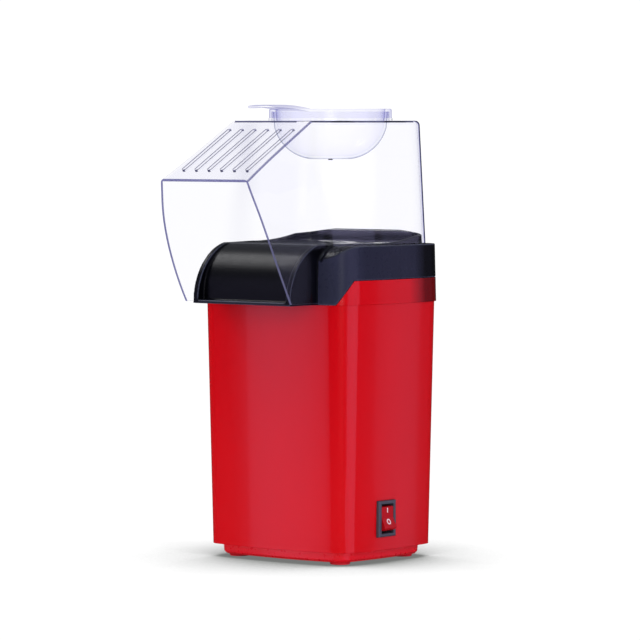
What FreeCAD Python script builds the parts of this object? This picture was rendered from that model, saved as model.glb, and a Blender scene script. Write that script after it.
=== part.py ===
"""Hot-air popcorn maker: red body, black collar with a chute, clear lift-off hood and a measuring cup.

Millimetres, +Z up. The origin is the centre of the base, on the surface the machine stands on.
The chute and the hood's open mouth face -Y, and the rocker switch is on the +X face.
"""
import FreeCAD, Part
import math
import os

Vector = FreeCAD.Vector
X_AXIS = Vector(1, 0, 0)
Y_AXIS = Vector(0, 1, 0)
Z_AXIS = Vector(0, 0, 1)

# ---------------------------------------------------------------- driving dimensions
HOUSING_BOTTOM = 7.6
HOUSING_TOP = 150.3
HOUSING_HALF_WIDTH = 52.3      # at the bottom, before the bulge
HOUSING_HALF_DEPTH = 43.2
HOUSING_CORNER = 11.2
HOUSING_DRAFT = 3.4            # growth of each side from bottom to top
SIDE_BULGE = 2.0               # crown of the +X and -X faces
END_BULGE = 3.0                # crown of the front and back faces
HOUSING_WALL = 2.5

COLLAR_OVERHANG = 1.1
COLLAR_TOP = 184.0
COLLAR_DRAFT = 0.8
COLLAR_WALL = 2.5
SHOULDER_RADIUS = 17.0         # roll of the collar's front corners
SHOULDER_CENTRE_Y = -33.4

RIM_CROWN_TOP = 193.2          # the rim's back is crowned from side to side
RIM_CROWN_RADIUS = 324.0

CHUTE_HALF_WIDTH = 36.5
CHUTE_RADIUS = 35.0            # side profile of the chute's cheeks
CHUTE_CENTRE_Y = -37.5
CHUTE_CENTRE_Z = 151.0
RAMP_HALF_WIDTH = 33.0
RAMP_RADIUS = 30.0
RAMP_CENTRE_Y = -36.8
RAMP_CENTRE_Z = 155.3
CHUTE_LIP = 2.1                # height of the lip along the chute's lower edge

BAND_TOP = 164.2
BAND_THICKNESS = 1.6
BAND_GAP = 0.1
BAND_CORNER_TURN = 39.8        # the band's front ends are cut across the collar's corners at this turn
BAND_FOOT = -4.0               # where the cut starts, measured along the turned direction
BAND_SLANT = 0.77              # run of the cut for each millimetre of height

HOOD_TOP = 256.0
HOOD_WALL = 1.5
HOOD_EDGE_ROUND = 3.0          # round of the top edge and of the sloped panel's sides
HOOD_SEAT = 183.6
HOOD_HALF_WIDTH = 49.0         # at the seat
HOOD_BACK_Y = 46.4
HOOD_CORNER = 14.0
HOOD_SIDE_LEAN = 4.0           # inward lean of each side from the seat to the top
HOOD_BACK_LEAN = 0.8
FLARE_LENGTH = 45.5            # the sides curve in from y = 0 to the chute over this length
HOOD_FRONT_Y = -140.0          # the untrimmed hood reaches past its mouth
HOOD_FOLD_Y = -45.5            # where the flat top meets the sloped panel
MOUTH_TOP_Y = -105.0
MOUTH_TOP_Z = 222.7
MOUTH_BOTTOM_Y = -73.6
MOUTH_BOTTOM_Z = 151.5
MOUTH_BOW = 3.8                # crown of the mouth's side edges
SLOT_COUNT = 6
SLOT_PITCH = 9.5
SLOT_WIDTH = 2.8
SLOT_START_Y = -95.3
SLOT_END_Y = -53.6

CUP_Y = 9.0
CUP_RIM_RADIUS = 36.0
CUP_TOP = 262.8
CUP_BOTTOM = 233.5
CUP_HOLE_RADIUS = 34.6
HANDLE_TIP_Y = -62.0
HANDLE_TOP = 265.0

SWITCH_Y = -7.6
SWITCH_Z = 25.8
BEZEL_HEIGHT = 21.0
BEZEL_WIDTH = 16.0
BEZEL_BACK_X = 54.0
BEZEL_THICKNESS = 2.2
ROCKER_PIVOT_X = 53.7
ROCKER_RADIUS = 7.3
ROCKER_THROW = 24.0            # degrees from ON to OFF

SKIRT_INSET = 5.2              # how far the base skirt stands in from the housing's lower edge
FOOT_HEIGHT = 1.6
CENTRE_PAD_RADIUS = 5.0        # support under the middle of the intake grille
SCREW_X = 38.0
SCREW_Y = 29.0
COLLAR_SCREW_X = 43.5
COLLAR_SCREW_Y = 35.0

TRAY_Z = 58.0                  # underside of the fan tray
SLEEVE_BOTTOM = 80.0
SLEEVE_TOP = 166.8
SLEEVE_RADIUS = 38.0
CHAMBER_BOTTOM = 100.0
CHAMBER_INNER_RADIUS = 32.0
CHAMBER_WALL = 1.0
THROAT_RADIUS = 33.6
FUNNEL_BOTTOM = 169.8
HEATER_Z = 91.0

MOTOR_RADIUS = 16.0
MOTOR_BOTTOM = 20.0
MOTOR_TOP = 54.0
SHAFT_RADIUS = 1.15
RUNNING_GAP = 0.05
FAN_RADIUS = 33.0

LEAD_RADIUS = 1.1

parts = {}


# ---------------------------------------------------------------- helpers
def box(x_low, x_high, y_low, y_high, z_low, z_high):
    return Part.makeBox(x_high - x_low, y_high - y_low, z_high - z_low, Vector(x_low, y_low, z_low))


def cylinder(radius, z_low, z_high, x=0.0, y=0.0):
    return Part.makeCylinder(radius, z_high - z_low, Vector(x, y, z_low))


def tube(outer, inner, z_low, z_high, x=0.0, y=0.0):
    return cylinder(outer, z_low, z_high, x, y).cut(cylinder(inner, z_low - 1, z_high + 1, x, y))


def corners(x, y):
    return [(sx * x, sy * y) for sx in (-1, 1) for sy in (-1, 1)]


def fuse_all(shapes):
    result = shapes[0]
    for shape in shapes[1:]:
        result = result.fuse(shape)
    return result.removeSplitter()


def polygon(points):
    return Part.makePolygon(points + [points[0]])


def extruded(wire, direction):
    return Part.Face(wire).extrude(direction)


def arc(start, middle, end):
    return Part.Arc(start, middle, end).toShape()


def line(start, end):
    return Part.LineSegment(start, end).toShape()


def side_arc(start, end, bulge, corner):
    """Arc along one side of an outline, moved out by the corner radius; gives its end angles too."""
    chord = end - start
    half_chord = chord.Length / 2
    radius = (half_chord ** 2 + bulge ** 2) / (2 * bulge)
    normal = Vector(chord.y, -chord.x, 0).normalize()
    centre = (start + end) * 0.5 + normal * (bulge - radius)
    angle = math.atan2(normal.y, normal.x)
    half_angle = math.asin(half_chord / radius)
    points = [
        centre + Vector(math.cos(angle + step), math.sin(angle + step), 0) * (radius + corner)
        for step in (-half_angle, 0, half_angle)
    ]
    return points, angle - half_angle, angle + half_angle


def crowned_outline(half_width, half_depth, corner, side_bulge, end_bulge, z):
    """Closed outline of eight tangent arcs: four crowned sides and four round corners."""
    x = half_width - corner
    y = half_depth - corner
    centres = [Vector(x, -y, z), Vector(x, y, z), Vector(-x, y, z), Vector(-x, -y, z)]
    bulges = [side_bulge, end_bulge, side_bulge, end_bulge]
    sides = [side_arc(centres[k], centres[(k + 1) % 4], bulges[k], corner) for k in range(4)]
    edges = []
    for k in range(4):
        points, _, end_angle = sides[k]
        next_points, next_angle, _ = sides[(k + 1) % 4]
        while next_angle < end_angle:
            next_angle += 2 * math.pi
        middle = (end_angle + next_angle) / 2
        turn = centres[(k + 1) % 4] + Vector(math.cos(middle), math.sin(middle), 0) * corner
        edges.append(arc(*points))
        edges.append(arc(points[2], turn, next_points[0]))
    return Part.Wire(edges)


def housing_outline(z, inset=0.0):
    growth = HOUSING_DRAFT * (z - HOUSING_BOTTOM) / (HOUSING_TOP - HOUSING_BOTTOM)
    return crowned_outline(HOUSING_HALF_WIDTH + growth - inset, HOUSING_HALF_DEPTH + growth - inset,
                           HOUSING_CORNER + growth - inset, SIDE_BULGE, END_BULGE, z)


def collar_outline(z, inset=0.0):
    grown = HOUSING_DRAFT + COLLAR_OVERHANG
    lean = COLLAR_DRAFT * (z - HOUSING_TOP) / (COLLAR_TOP - HOUSING_TOP)
    change = grown - lean - inset
    return crowned_outline(HOUSING_HALF_WIDTH + change, HOUSING_HALF_DEPTH + change,
                           HOUSING_CORNER + change, SIDE_BULGE, END_BULGE, z)


def hood_outline(z, chute_half_width, inset=0.0):
    """Plan of the hood: a round-cornered back whose sides flare in to a parallel-sided chute."""
    height = (z - HOOD_SEAT) / (HOOD_TOP - HOOD_SEAT)
    wide = HOOD_HALF_WIDTH - HOOD_SIDE_LEAN * height - inset
    narrow = chute_half_width - inset
    back = HOOD_BACK_Y - HOOD_BACK_LEAN * height - inset
    corner = HOOD_CORNER - inset
    shoulder = corner * (1 - math.sqrt(0.5))
    steps = [k / 6 for k in range(7)]
    flare = [(wide - (wide - narrow) * t * t * (3 - 2 * t), -FLARE_LENGTH * t) for t in steps]

    def flare_curve(side):
        curve = Part.BSplineCurve()
        points = [Vector(side * x, y, z) for x, y in flare]
        curve.interpolate(points if side < 0 else points[::-1])
        return curve.toShape()

    def at(x, y):
        return Vector(x, y, z)

    return Part.Wire([
        line(at(-narrow, HOOD_FRONT_Y), at(narrow, HOOD_FRONT_Y)),
        line(at(narrow, HOOD_FRONT_Y), at(narrow, -FLARE_LENGTH)),
        flare_curve(1),
        line(at(wide, 0), at(wide, back - corner)),
        arc(at(wide, back - corner), at(wide - shoulder, back - shoulder), at(wide - corner, back)),
        line(at(wide - corner, back), at(corner - wide, back)),
        arc(at(corner - wide, back), at(shoulder - wide, back - shoulder), at(-wide, back - corner)),
        line(at(-wide, back - corner), at(-wide, 0)),
        flare_curve(-1),
        line(at(-narrow, -FLARE_LENGTH), at(-narrow, HOOD_FRONT_Y))])


def hood_block(inset=0.0):
    """Hood as a filled block, before its mouth and sloped panel are cut."""
    levels = [(140.0, 39.2), (166.0, 40.0), (188.0, 38.8), (206.0, 36.2), (MOUTH_TOP_Z, 32.5),
              (240.0, 30.6), (HOOD_TOP + 3, 29.2)]
    return Part.makeLoft([hood_outline(z, half_width, inset) for z, half_width in levels], True, False)


def between(outline, z_low, z_high, inset=0.0):
    """Solid between two heights of a tapering outline."""
    return Part.makeLoft([outline(z_low, inset), outline(z_high, inset)], True, True)


def side_profile(edges_or_points, half_width):
    """Solid made from a profile in the YZ plane, spread to both sides of the middle."""
    wire = edges_or_points if isinstance(edges_or_points, Part.Wire) else polygon(edges_or_points)
    wire.translate(Vector(-half_width, 0, 0))
    return extruded(wire, Vector(2 * half_width, 0, 0))


def on_side(y, z):
    return Vector(0, y, z)


def revolved(edges, x=0.0, y=0.0):
    """Solid turned about a vertical axis from edges in the XZ plane."""
    solid = Part.Face(Part.Wire(edges)).revolve(Vector(0, 0, 0), Z_AXIS, 360)
    solid.translate(Vector(x, y, 0))
    return Part.Solid(solid.Shells[0]) if solid.ShapeType != "Solid" else solid


def screw(x, y, head_z, head_radius, head_height, shank_radius, length, way=1):
    """Pan-head screw; way=1 points the shank up and way=-1 points it down."""
    head = Part.makeCylinder(head_radius, head_height, Vector(x, y, head_z), Vector(0, 0, way))
    slot = box(x - 0.4, x + 0.4, y - 1.5, y + 1.5, -0.6, 0.6)
    cross = slot.fuse(box(x - 1.5, x + 1.5, y - 0.4, y + 0.4, -0.6, 0.6))
    cross.translate(Vector(0, 0, head_z))
    start = Vector(x, y, head_z + way * head_height)
    shank = Part.makeCylinder(shank_radius, length, start, Vector(0, 0, way))
    return head.cut(cross).fuse(shank)


def lead(route, radius=LEAD_RADIUS):
    """Round wire along straight runs joined by tangent arcs."""
    edges = []
    here = route[0]
    runs = [(route[k + 1] - route[k]).Length for k in range(len(route) - 1)]
    for k in range(1, len(route) - 1):
        back = (route[k - 1] - route[k]).normalize()
        ahead = (route[k + 1] - route[k]).normalize()
        cut_back = 0.45 * min(runs[k - 1], runs[k])
        half_turn = (math.pi - back.getAngle(ahead)) / 2
        bend = cut_back / math.tan(half_turn)
        start = route[k] + back * cut_back
        end = route[k] + ahead * cut_back
        inward = (back + ahead).normalize()
        reach = bend / math.cos(half_turn) - bend
        edges.append(line(here, start))
        edges.append(arc(start, route[k] + inward * reach, end))
        here = end
    edges.append(line(here, route[-1]))
    path = Part.Wire(edges)
    heading = (route[1] - route[0]).normalize()
    section = Part.Wire([Part.Circle(route[0], heading, radius).toShape()])
    return path.makePipeShell([section], True, False)


def group(shapes):
    return Part.makeCompound(shapes)


# ---------------------------------------------------------------- housing and base
def outer_housing():
    shell = between(housing_outline, HOUSING_BOTTOM, HOUSING_TOP)
    envelope = shell.copy()
    shell = shell.cut(between(housing_outline, HOUSING_BOTTOM - 1, HOUSING_TOP + 1, HOUSING_WALL))
    boss_low = 10.5
    for x, y in corners(SCREW_X, SCREW_Y):
        outward = math.degrees(math.atan2(y, x))
        rib = box(0, 22, -1, 1, boss_low, TRAY_Z)
        rib.rotate(Vector(0, 0, 0), Z_AXIS, outward)
        rib.translate(Vector(x, y, 0))
        boss = cylinder(4.2, boss_low, TRAY_Z, x, y).fuse(rib.common(envelope))
        boss = boss.cut(cylinder(1.4, boss_low - 1, boss_low + 14, x, y))
        boss = boss.cut(cylinder(1.4, TRAY_Z - 12, TRAY_Z + 1, x, y))
        shell = shell.fuse(boss)
    for x, y in corners(COLLAR_SCREW_X, COLLAR_SCREW_Y):
        outward = math.degrees(math.atan2(y, x))
        lug = box(-5, 22, -4.5, 4.5, 138, 141)
        lug.rotate(Vector(0, 0, 0), Z_AXIS, outward)
        lug.translate(Vector(x, y, 0))
        lug = lug.common(envelope).cut(cylinder(1.7, 137, 142, x, y))
        shell = shell.fuse(lug)
    window = box(40, 70, SWITCH_Y - 6.45, SWITCH_Y + 6.45, SWITCH_Z - 9.45, SWITCH_Z + 9.45)
    seat = box(BEZEL_BACK_X, 70, SWITCH_Y - BEZEL_WIDTH / 2 - 0.2, SWITCH_Y + BEZEL_WIDTH / 2 + 0.2,
               SWITCH_Z - BEZEL_HEIGHT / 2 - 0.2, SWITCH_Z + BEZEL_HEIGHT / 2 + 0.2)
    gland_hole = Part.makeCylinder(6.0, 20, Vector(0, 35, 18), Y_AXIS)
    return shell.cut(window).cut(seat).cut(gland_hole).removeSplitter()


def skirt_outline(z, inset, corner):
    """Outline of the base skirt, drawn in by the inset."""
    reach = -SKIRT_INSET - inset
    return crowned_outline(HOUSING_HALF_WIDTH + reach, HOUSING_HALF_DEPTH + reach,
                           corner, SIDE_BULGE, END_BULGE, z)


def skirt_step(lower, upper):
    return Part.makeLoft([skirt_outline(*lower), skirt_outline(*upper)], True, True)


def base_plate():
    skirt_low = FOOT_HEIGHT
    bevel_top = skirt_low + 1.4
    bevel = skirt_step((skirt_low, 1.8, 6.2), (bevel_top, 0.4, 7.6))
    wall = skirt_step((bevel_top, 0.4, 7.6), (HOUSING_BOTTOM, 0.0, 8.0))
    plug = between(housing_outline, HOUSING_BOTTOM, 10.3, HOUSING_WALL + 0.3)
    plate = fuse_all([bevel, wall, plug])
    plate = plate.cut(skirt_step((4.4, 3.4, 6.0), (12.0, 3.0, 6.0)))
    for x, y in corners(SCREW_X, SCREW_Y):
        plate = plate.fuse(cylinder(4.6, skirt_low, 10.3, x, y))
    for x, y in corners(SCREW_X, SCREW_Y):
        plate = plate.cut(cylinder(1.6, 0, 12, x, y))
        plate = plate.cut(cylinder(3.0, 0, 4.6, x, y))
    slot_count = 9
    for k in range(slot_count):
        x = (k - (slot_count - 1) / 2) * 6.0
        plate = plate.cut(box(x - 1.5, x + 1.5, -22, 22, 0, 6))
    plate = plate.fuse(cylinder(CENTRE_PAD_RADIUS, 0, 4.4))
    for x in (-17.0, 17.0):
        post = box(x - 2, x + 2, 29, 34, 3, 16)
        slot_low, slot_high = sorted((x, x - math.copysign(3, x)))
        post = post.cut(box(slot_low, slot_high, 30.7, 32.5, 5, 17))
        plate = plate.fuse(post)
    return plate.removeSplitter()


def base_feet():
    feet = []
    for x, y in corners(SCREW_X, SCREW_Y):
        pad = Part.makeCone(5.6, 6.2, FOOT_HEIGHT, Vector(x, y, 0))
        feet.append(pad.cut(cylinder(3.2, -1, FOOT_HEIGHT + 1, x, y)))
    return group(feet)


def base_screws():
    return group([screw(x, y, 2.4, 2.7, 2.0, 1.35, 16) for x, y in corners(SCREW_X, SCREW_Y)])


# ---------------------------------------------------------------- collar
def chute_profile(radius, centre_y, centre_z, bottom, back):
    """Side profile of the chute: a quarter round from its front foot to its crest."""
    diagonal = radius * math.sqrt(0.5)
    foot = on_side(centre_y - radius, bottom)
    spring = on_side(centre_y - radius, centre_z)
    crown = on_side(centre_y - diagonal, centre_z + diagonal)
    crest = on_side(centre_y, centre_z + radius)
    return Part.Wire([
        line(foot, spring),
        arc(spring, crown, crest),
        line(crest, on_side(back, crest.z)),
        line(on_side(back, crest.z), on_side(back, bottom)),
        line(on_side(back, bottom), foot)])


def roll_off(radius, centre_y):
    """Everything in front of and above the roll that turns the collar's top down towards -Y."""
    low = HOUSING_TOP
    centre_z = COLLAR_TOP - SHOULDER_RADIUS
    block = box(-90, 90, -110, centre_y, low, COLLAR_TOP + 10)
    keep = Part.makeCylinder(radius, 190, Vector(-95, centre_y, centre_z), X_AXIS)
    below = box(-95, 95, centre_y - radius, centre_y + 10, low - 1, centre_z)
    return block.cut(keep).cut(below)


def funnel(inset, z_low):
    """Bowl that leads from the throat up to the inside of the rim."""
    size = THROAT_RADIUS - 1.5 + inset
    throat = crowned_outline(size, size, size - 7, 1.5, 1.5, z_low)
    mouth = crowned_outline(42.8 + inset, 38.0 + inset, 23 + inset, 1.4, 1.4, COLLAR_TOP - 0.5)
    mouth.translate(Vector(0, 2.4, 0))
    return Part.makeLoft([throat, mouth], True, True)


def rim_top():
    """Everything above the rim: it is low in front, sweeps up to the back and is crowned across."""
    edges = [
        line(on_side(-120, 185.0), on_side(-8, 185.0)),
        arc(on_side(-8, 185.0), on_side(20, 186.5), on_side(60, 197.0)),
        line(on_side(60, 197.0), on_side(60, 230)),
        line(on_side(60, 230), on_side(-120, 230)),
        line(on_side(-120, 230), on_side(-120, 185.0))]
    crown_centre = Vector(0, -130, RIM_CROWN_TOP - RIM_CROWN_RADIUS)
    crown = Part.makeCylinder(RIM_CROWN_RADIUS, 250, crown_centre, Y_AXIS)
    above_crown = box(-80, 80, -120, 100, 186, 230).cut(crown)
    return side_profile(Part.Wire(edges), 80).fuse(above_crown)


def top_collar():
    block = between(collar_outline, HOUSING_TOP, COLLAR_TOP)
    cavity = between(collar_outline, HOUSING_TOP - 1, COLLAR_TOP - COLLAR_WALL, COLLAR_WALL)
    block = block.cut(roll_off(SHOULDER_RADIUS, SHOULDER_CENTRE_Y))
    cavity = cavity.cut(roll_off(SHOULDER_RADIUS - COLLAR_WALL, SHOULDER_CENTRE_Y))
    bosses = []
    for x, y in corners(COLLAR_SCREW_X, COLLAR_SCREW_Y):
        inside = cylinder(4.0, 160, COLLAR_TOP - 1, x, y).common(block)
        bosses.append(cylinder(4.0, 141.1, 160, x, y).fuse(inside))
    block = block.cut(cavity)
    chute = side_profile(chute_profile(CHUTE_RADIUS, CHUTE_CENTRE_Y, CHUTE_CENTRE_Z, HOUSING_TOP, -20),
                         CHUTE_HALF_WIDTH)
    recess = side_profile(chute_profile(60, RAMP_CENTRE_Y, RAMP_CENTRE_Z, HOUSING_TOP + CHUTE_LIP, 0),
                          RAMP_HALF_WIDTH)
    ramp = side_profile(chute_profile(RAMP_RADIUS, RAMP_CENTRE_Y, RAMP_CENTRE_Z, HOUSING_TOP, 0),
                        RAMP_HALF_WIDTH + 1)
    recess = recess.cut(ramp)
    under = side_profile(chute_profile(RAMP_RADIUS - 2.5, RAMP_CENTRE_Y, RAMP_CENTRE_Z, 140, 0),
                         CHUTE_HALF_WIDTH - 2.5)
    rim = hood_block(HOOD_WALL + 0.6).common(box(-80, 80, -38, 80, COLLAR_TOP - 2, 196))
    bowl = funnel(2.2, FUNNEL_BOTTOM)
    spigot = tube(41.6, 39.4, 158, FUNNEL_BOTTOM + 1.2)
    spigot_web = tube(41.6, THROAT_RADIUS, FUNNEL_BOTTOM, FUNNEL_BOTTOM + 1.8)
    collar = fuse_all([block, chute.cut(recess), rim, bowl])
    collar = collar.cut(under.common(box(-80, 80, -80, -38, 130, 200)))
    collar = collar.cut(cylinder(39.4, 140, FUNNEL_BOTTOM))
    collar = fuse_all([collar, spigot, spigot_web] + bosses)
    register = between(housing_outline, 145.5, HOUSING_TOP + 0.5, HOUSING_WALL + 0.3)
    register = register.cut(between(housing_outline, 145, 152, HOUSING_WALL + 2.3))
    collar = collar.fuse(register)
    inside_rim = hood_block(HOOD_WALL + 2.8).common(box(-80, 80, RAMP_CENTRE_Y, 80, COLLAR_TOP - 0.5, 220))
    collar = collar.cut(funnel(0, FUNNEL_BOTTOM - 0.01)).cut(inside_rim)
    collar = collar.cut(cylinder(THROAT_RADIUS, 120, 176)).cut(rim_top())
    for x, y in corners(COLLAR_SCREW_X, COLLAR_SCREW_Y):
        collar = collar.cut(cylinder(1.4, 140, 156, x, y))
    collar = collar.cut(band_zone(BAND_THICKNESS + BAND_GAP, BAND_GAP))
    collar = collar.cut(hood_shell(0.3, 0.3))
    solids = sorted(collar.Solids, key=lambda solid: solid.Volume)
    return solids[-1].removeSplitter()


def band_zone(thickness, gap):
    """Skin of the collar's lower sides and back; each front end is cut on a slant across the corner."""
    zone = between(collar_outline, HOUSING_TOP - gap, BAND_TOP + gap, -0.3 if gap else 0.0)
    zone = zone.cut(between(collar_outline, HOUSING_TOP - 1, BAND_TOP + 1, thickness))
    low = HOUSING_TOP - 1
    high = BAND_TOP + 1
    foot = BAND_FOOT - BAND_SLANT - gap
    kept = side_profile([on_side(foot, low), on_side(foot + BAND_SLANT * (high - low), high),
                         on_side(200, high), on_side(200, low)], 200)
    kept.rotate(Vector(0, 0, 0), Z_AXIS, -BAND_CORNER_TURN)
    right = zone.common(kept).common(box(0, 90, -90, 90, low, high))
    return right.fuse(right.mirror(Vector(0, 0, 0), X_AXIS)).removeSplitter()


def collar_trim_band():
    return band_zone(BAND_THICKNESS, 0.0)


def collar_screws():
    places = corners(COLLAR_SCREW_X, COLLAR_SCREW_Y)
    return group([screw(x, y, 135.7, 3.0, 2.2, 1.35, 14) for x, y in places])


# ---------------------------------------------------------------- hood and cup
def slope_height(y):
    """Height of the sloped panel's outside at a given y."""
    slope = (HOOD_TOP - MOUTH_TOP_Z) / (HOOD_FOLD_Y - MOUTH_TOP_Y)
    return HOOD_TOP + slope * (y - HOOD_FOLD_Y)


def hood_side_view(drop, reach):
    """Side profile of the hood: flat top, sloped panel and bowed mouth edge, let down and moved forward."""
    fold_drop = drop / math.cos(math.atan2(HOOD_TOP - MOUTH_TOP_Z, HOOD_FOLD_Y - MOUTH_TOP_Y))
    front = MOUTH_TOP_Y - reach
    top = on_side(front, slope_height(front) - fold_drop)
    bottom_y = MOUTH_BOTTOM_Y + 0.5 * (MOUTH_BOTTOM_Z - 140) - reach
    bottom = on_side(bottom_y, 140)
    middle = (top + bottom) * 0.5 + Vector(0, -MOUTH_BOW, 0)
    fold_y = HOOD_FOLD_Y + (fold_drop - drop) * (HOOD_FOLD_Y - MOUTH_TOP_Y) / (HOOD_TOP - MOUTH_TOP_Z)
    fold = on_side(fold_y, HOOD_TOP - drop)
    back_top = on_side(80, HOOD_TOP - drop)
    back_low = on_side(80, 140)
    return Part.Wire([line(back_low, back_top), line(back_top, fold), line(fold, top),
                      arc(top, middle, bottom), line(bottom, back_low)])


def upper_edges(block):
    """Edges round the hood's flat top, apart from its front fold, and down the sides of the sloped panel."""
    found = []
    for edge in block.Edges:
        ends = [vertex.Point for vertex in edge.Vertexes]
        rise = abs(ends[0].z - ends[-1].z)
        lowest = min(point.z for point in ends)
        crosses_front = rise < 1 and max(point.y for point in ends) < HOOD_FOLD_Y + 1
        on_top = lowest > HOOD_TOP - 0.6 and not crosses_front
        down_panel = lowest > MOUTH_TOP_Z - 5 and rise > 20
        if on_top or down_panel:
            found.append(edge)
    return found


def hood_shell(grow=0.0, sink=0.0):
    """Hood without its top hole and slots; grow thickens it to both sides for the collar's groove."""
    def filled(inset, drop, reach):
        return hood_block(inset).common(side_profile(hood_side_view(drop, reach), 80))

    outside = filled(-grow, 0.0, 0.0)
    shell = outside.makeFillet(HOOD_EDGE_ROUND, upper_edges(outside))
    shell = shell.cut(filled(HOOD_WALL + grow, HOOD_WALL, 30.0))
    low = HOOD_SEAT - sink
    centre_z = COLLAR_TOP - SHOULDER_RADIUS
    roll = SHOULDER_RADIUS - (COLLAR_TOP - low)
    open_back = box(-80, 80, SHOULDER_CENTRE_Y, 80, 130, low)
    open_roll = Part.makeCylinder(roll, 160, Vector(-80, SHOULDER_CENTRE_Y, centre_z), X_AXIS)
    open_front = box(-80, 80, SHOULDER_CENTRE_Y - roll, 80, 130, centre_z)
    open_below = box(-80, 80, -140, 80, 130, MOUTH_BOTTOM_Z - 2 * sink)
    return shell.cut(open_back).cut(open_roll).cut(open_front).cut(open_below)


def clear_hood():
    hood = hood_shell()
    hood = hood.fuse(cylinder(CUP_HOLE_RADIUS + 1.8, HOOD_TOP - 1, HOOD_TOP + 1.3, 0, CUP_Y))
    hood = hood.cut(cylinder(CUP_HOLE_RADIUS, HOOD_TOP - 5, HOOD_TOP + 5, 0, CUP_Y))
    rise = slope_height(SLOT_END_Y) - slope_height(SLOT_START_Y)
    length = math.hypot(SLOT_END_Y - SLOT_START_Y, rise)
    pitch_angle = math.degrees(math.atan2(rise, SLOT_END_Y - SLOT_START_Y))
    for k in range(SLOT_COUNT):
        x = (k - (SLOT_COUNT - 1) / 2) * SLOT_PITCH
        straight = length - SLOT_WIDTH
        slot = box(-SLOT_WIDTH / 2, SLOT_WIDTH / 2, -straight / 2, straight / 2, -6, 6)
        for end in (-straight / 2, straight / 2):
            slot = slot.fuse(cylinder(SLOT_WIDTH / 2, -6, 6, 0, end))
        slot.rotate(Vector(0, 0, 0), X_AXIS, pitch_angle)
        middle_y = (SLOT_START_Y + SLOT_END_Y) / 2
        slot.translate(Vector(x, middle_y, slope_height(middle_y) - 1))
        hood = hood.cut(slot)
    return hood.removeSplitter()


def measuring_cup():
    def p(radius, z):
        return Vector(radius, 0, z)

    skirt_low = HOOD_TOP + 1.4
    wall = 1.6
    top = CUP_TOP
    outer = [
        line(p(0, CUP_BOTTOM), p(12.5, CUP_BOTTOM)),
        arc(p(12.5, CUP_BOTTOM), p(26.6, 240.6), p(33.0, 252.0)),
        line(p(33.0, 252.0), p(33.8, top - wall)),
        line(p(33.8, top - wall), p(34.6, top - wall)),
        line(p(34.6, top - wall), p(34.6, skirt_low)),
        line(p(34.6, skirt_low), p(CUP_RIM_RADIUS, skirt_low)),
        line(p(CUP_RIM_RADIUS, skirt_low), p(CUP_RIM_RADIUS, top - 0.8)),
        arc(p(CUP_RIM_RADIUS, top - 0.8), p(CUP_RIM_RADIUS - 0.25, top - 0.25), p(CUP_RIM_RADIUS - 0.8, top)),
        line(p(CUP_RIM_RADIUS - 0.8, top), p(32.3, top))]
    inner = [
        line(p(32.3, top), p(31.4, 252.4)),
        arc(p(31.4, 252.4), p(25.4, 241.8), p(12.0, CUP_BOTTOM + wall)),
        line(p(12.0, CUP_BOTTOM + wall), p(0, CUP_BOTTOM + wall)),
        line(p(0, CUP_BOTTOM + wall), p(0, CUP_BOTTOM))]
    bowl = revolved(outer + inner, 0, CUP_Y)
    root_y = CUP_Y - CUP_RIM_RADIUS + 3.0
    middle_y = -46.0
    tip_top = 263.9
    tip_low = 263.0
    strip = Part.Wire([
        arc(on_side(root_y, top), on_side(middle_y, HANDLE_TOP), on_side(HANDLE_TIP_Y, tip_top)),
        line(on_side(HANDLE_TIP_Y, tip_top), on_side(HANDLE_TIP_Y, tip_low)),
        arc(on_side(HANDLE_TIP_Y, tip_low), on_side(middle_y, HANDLE_TOP - 1.5), on_side(root_y, top - 1.8)),
        line(on_side(root_y, top - 1.8), on_side(root_y, top))])
    strip = side_profile(strip, 20)
    leaf = Part.Wire([
        arc(Vector(12, root_y, 250), Vector(8.6, -46, 250), Vector(7.0, HANDLE_TIP_Y + 6.0, 250)),
        arc(Vector(7.0, HANDLE_TIP_Y + 6.0, 250), Vector(0, HANDLE_TIP_Y, 250),
            Vector(-7.0, HANDLE_TIP_Y + 6.0, 250)),
        arc(Vector(-7.0, HANDLE_TIP_Y + 6.0, 250), Vector(-8.6, -46, 250), Vector(-12, root_y, 250)),
        line(Vector(-12, root_y, 250), Vector(12, root_y, 250))])
    handle = strip.common(extruded(leaf, Vector(0, 0, 30)))
    inside = cylinder(32.3, 250, 270, 0, CUP_Y)
    nub = cylinder(1.3, CUP_BOTTOM - 0.7, CUP_BOTTOM + 0.5, 0, CUP_Y)
    return fuse_all([bowl, handle.cut(inside), nub])


# ---------------------------------------------------------------- rocker switch
def switch_body():
    front = BEZEL_BACK_X + BEZEL_THICKNESS
    flange = box(BEZEL_BACK_X, front, SWITCH_Y - BEZEL_WIDTH / 2, SWITCH_Y + BEZEL_WIDTH / 2,
                 SWITCH_Z - BEZEL_HEIGHT / 2, SWITCH_Z + BEZEL_HEIGHT / 2)
    outer_edges = [edge for edge in flange.Edges if abs(edge.CenterOfMass.x - front) < 0.01]
    flange = flange.makeFillet(0.8, outer_edges)
    barrel = box(38.5, BEZEL_BACK_X, SWITCH_Y - 6.3, SWITCH_Y + 6.3, SWITCH_Z - 9.3, SWITCH_Z + 9.3)
    body = flange.fuse(barrel)
    body = body.cut(box(44.0, 60, SWITCH_Y - 5.6, SWITCH_Y + 5.6, SWITCH_Z - 8.6, SWITCH_Z + 8.6))
    pivot_bore = Part.makeCylinder(1.2 + RUNNING_GAP, 12.4, Vector(ROCKER_PIVOT_X, SWITCH_Y - 6.2, SWITCH_Z),
                                   Y_AXIS)
    for z in (SWITCH_Z - 5, SWITCH_Z + 5):
        body = body.cut(box(38, 44.5, SWITCH_Y - 2.45, SWITCH_Y + 2.45, z - 0.45, z + 0.45))
    return body.cut(pivot_bore).removeSplitter()


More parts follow.
